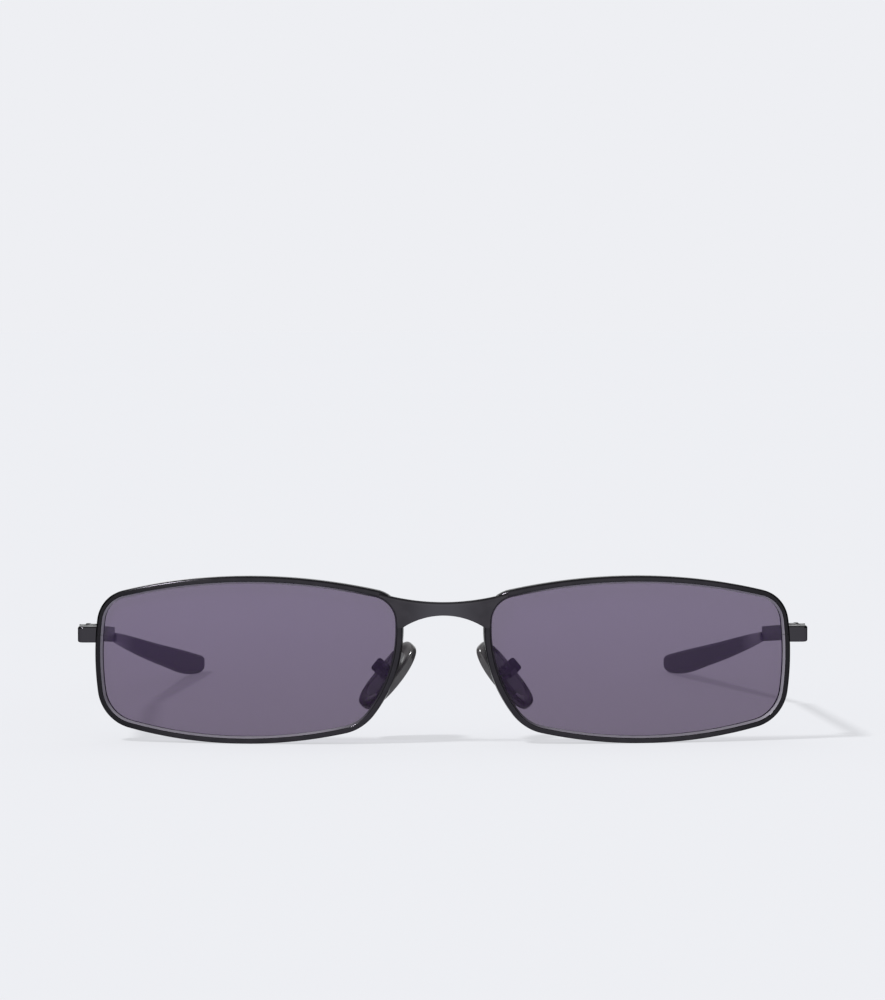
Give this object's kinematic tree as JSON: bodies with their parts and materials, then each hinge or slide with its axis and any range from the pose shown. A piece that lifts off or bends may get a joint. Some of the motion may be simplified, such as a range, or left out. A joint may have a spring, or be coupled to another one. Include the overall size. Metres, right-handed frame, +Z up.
{
  "type": "narrow rectangular sunglasses",
  "caption": "Narrow rectangular metal-rimmed sunglasses with tinted lenses, folding temples with plastic tips, and rocking nose pads on wire arms.",
  "frame": {"origin": "middle of the footprint, on the table that the rims and the temple tips stand on", "axes": "+X across the front to the right as one looks at the front, +Y back along the open temples, +Z up. Left and right in node names are as seen from the front"},
  "size_m": [0.14, 0.149, 0.0319],
  "materials": {
    "frame_metal": "semi-gloss black",
    "hinge_metal": "satin black",
    "arm_metal": "semi-gloss black",
    "core_metal": "satin",
    "screw_steel": "satin",
    "lens_tint": "polished, grey violet tint",
    "tip_plastic": "satin black",
    "pad_plastic": "polished black"
  },
  "bodies": {
    "front": {"bridge": "frame_metal", "left_rim": "frame_metal", "left_lens": "lens_tint", "left_end_piece": "frame_metal", "left_closing_block_top": "frame_metal", "left_closing_block_bottom": "frame_metal", "left_closing_screw": "screw_steel", "left_hinge_front_leaf": "hinge_metal", "left_hinge_screw": "screw_steel", "left_pad_arm": "arm_metal", "left_pad_box": "arm_metal", "left_pad_screw": "screw_steel", "right_rim": "frame_metal", "right_lens": "lens_tint", "right_end_piece": "frame_metal", "right_closing_block_top": "frame_metal", "right_closing_block_bottom": "frame_metal", "right_closing_screw": "screw_steel", "right_hinge_front_leaf": "hinge_metal", "right_hinge_screw": "screw_steel", "right_pad_arm": "arm_metal", "right_pad_box": "arm_metal", "right_pad_screw": "screw_steel"},
    "left_temple": {"left_hinge_temple_leaf": "hinge_metal", "left_temple": "frame_metal", "left_temple_tip": "tip_plastic"},
    "right_temple": {"right_hinge_temple_leaf": "hinge_metal", "right_temple": "frame_metal", "right_temple_tip": "tip_plastic"},
    "left_pad": {"left_nose_pad": "pad_plastic", "left_pad_core": "core_metal"},
    "right_pad": {"right_nose_pad": "pad_plastic", "right_pad_core": "core_metal"}
  },
  "joints": [
    {"name": "left_temple_fold", "type": "hinge", "parent": "front", "child": "left_temple", "pos_m": [-0.06755, -0.06116, 0.02038], "axis": [0, 0, -1], "range_deg": [0, 82]},
    {"name": "right_temple_fold", "type": "hinge", "parent": "front", "child": "right_temple", "pos_m": [0.06755, -0.06116, 0.02038], "axis": [0, 0, 1], "range_deg": [0, 76]},
    {"name": "left_pad_rock", "type": "hinge", "parent": "front", "child": "left_pad", "pos_m": [-0.01195, -0.06585, 0.01386], "axis": [-0.3346, 0.9026, 0.2709], "range_deg": [-12, 12]},
    {"name": "right_pad_rock", "type": "hinge", "parent": "front", "child": "right_pad", "pos_m": [0.0132, -0.06585, 0.01386], "axis": [0.3346, 0.9026, 0.2709], "range_deg": [-12, 12]}
  ]
}
